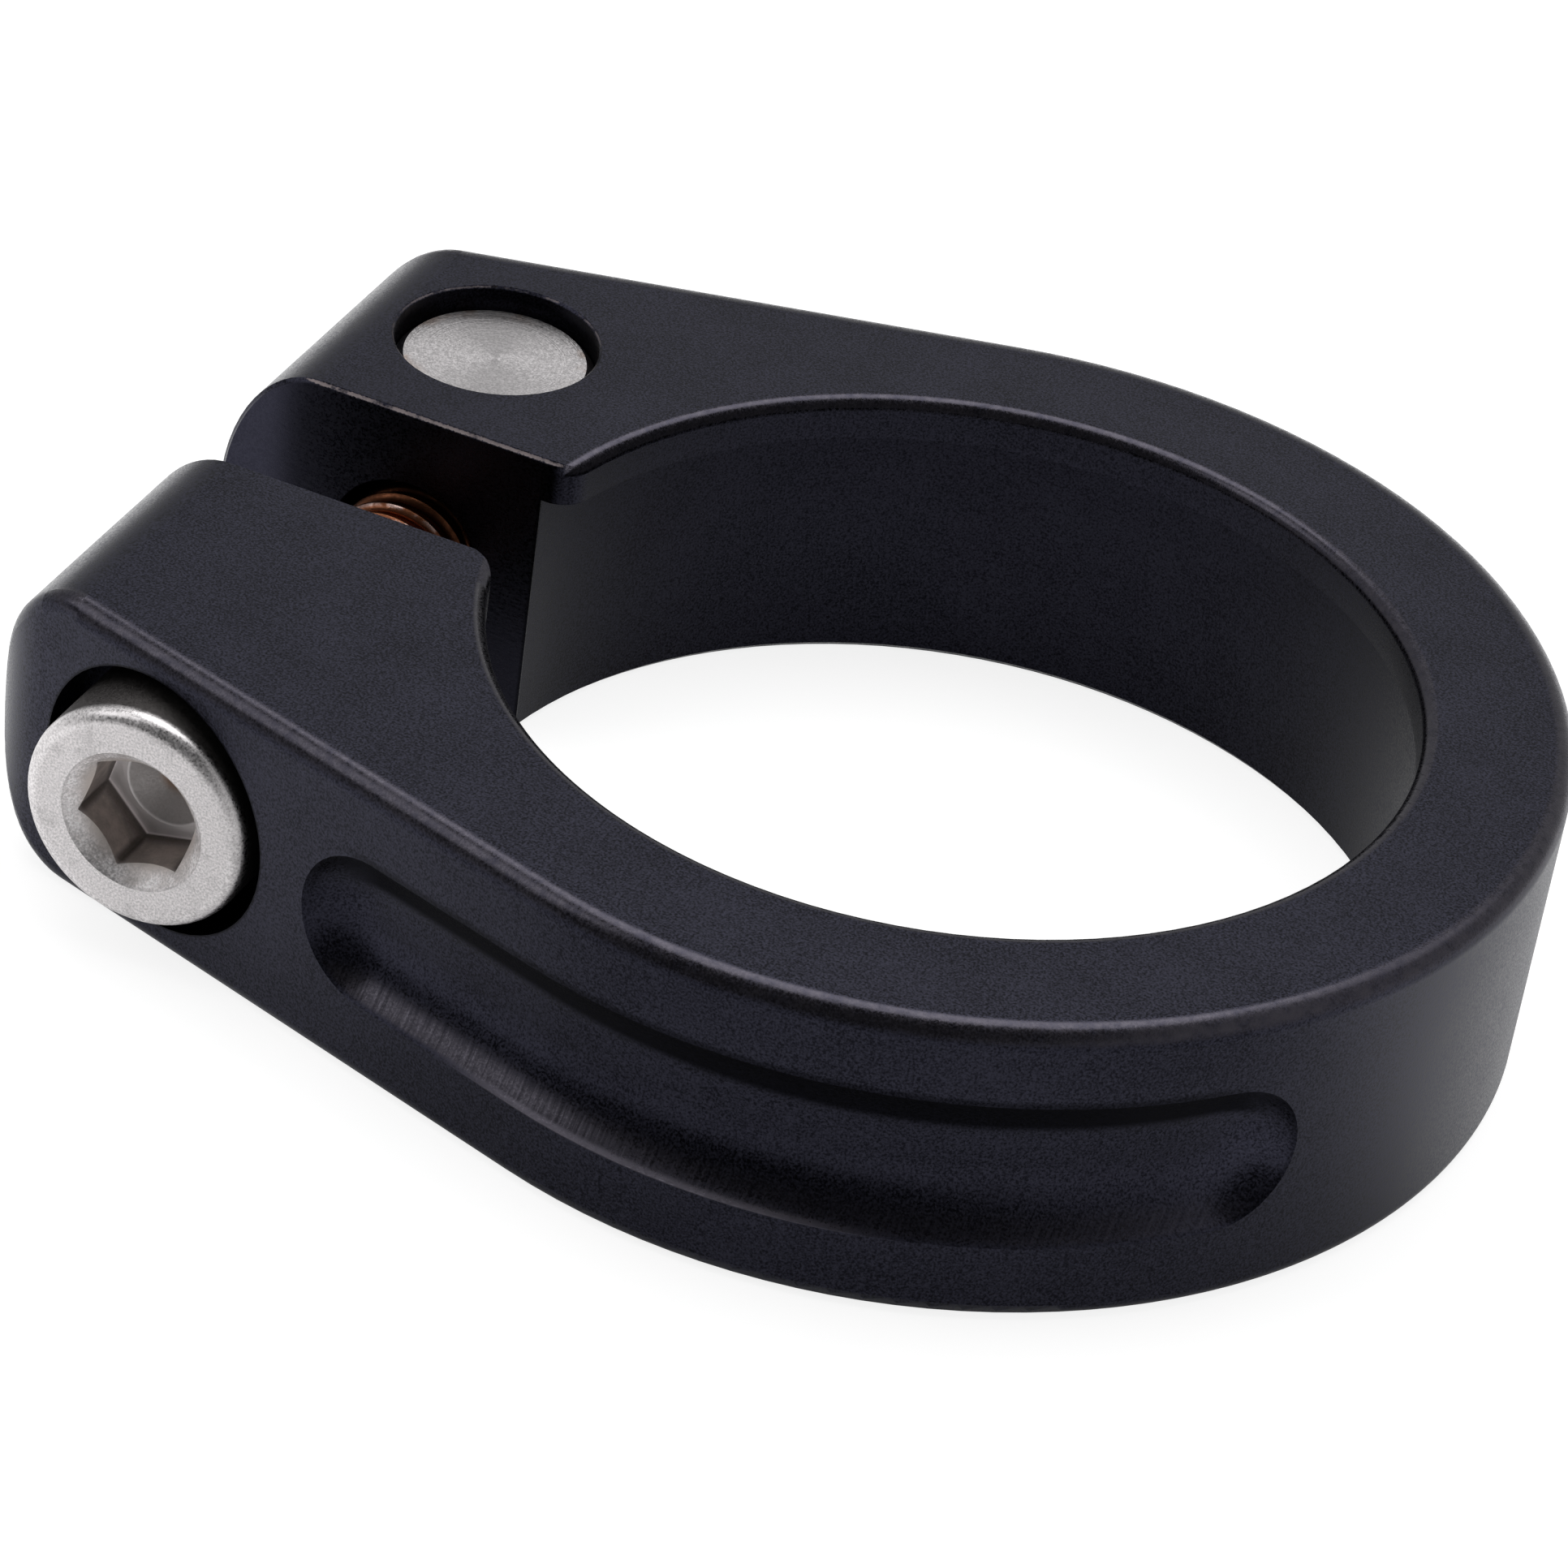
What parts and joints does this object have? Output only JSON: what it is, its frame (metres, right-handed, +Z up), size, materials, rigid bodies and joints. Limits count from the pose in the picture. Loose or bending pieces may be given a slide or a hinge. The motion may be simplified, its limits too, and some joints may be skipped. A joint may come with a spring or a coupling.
{
  "type": "seatpost clamp",
  "caption": "Slotted round collar with two ears, drawn together by a socket head bolt and a barrel nut to clamp a seatpost in a bicycle seat tube.",
  "frame": {"origin": "centre of the bore at the collar's lower face", "axes": "+Z up along the bore to the lip; the ears point to -X; the bolt lies along Y with its head at -Y"},
  "size_m": [0.0517, 0.0432, 0.0118],
  "materials": {
    "black_anodised": "black anodised over a fine blast, satin",
    "stainless_bolt": "bright cold-formed stainless steel, thread darkened by assembly paste",
    "stainless_nut": "turned stainless steel"
  },
  "bodies": {
    "collar": {"collar": "black_anodised"},
    "barrel_nut": {"barrel_nut": "stainless_nut"},
    "clamp_bolt": {"clamp_bolt": "stainless_bolt"}
  },
  "joints": [
    {"name": "nut_swivel", "type": "hinge", "parent": "collar", "child": "barrel_nut", "pos_m": [-0.0224, 0.00925, 0.0059], "axis": [0, 0, 1], "range_deg": [-1, 1]},
    {"name": "bolt_turn", "type": "hinge", "parent": "barrel_nut", "child": "clamp_bolt", "pos_m": [-0.0224, 0, 0.0059], "axis": [0, 1, 0], "continuous": true}
  ]
}
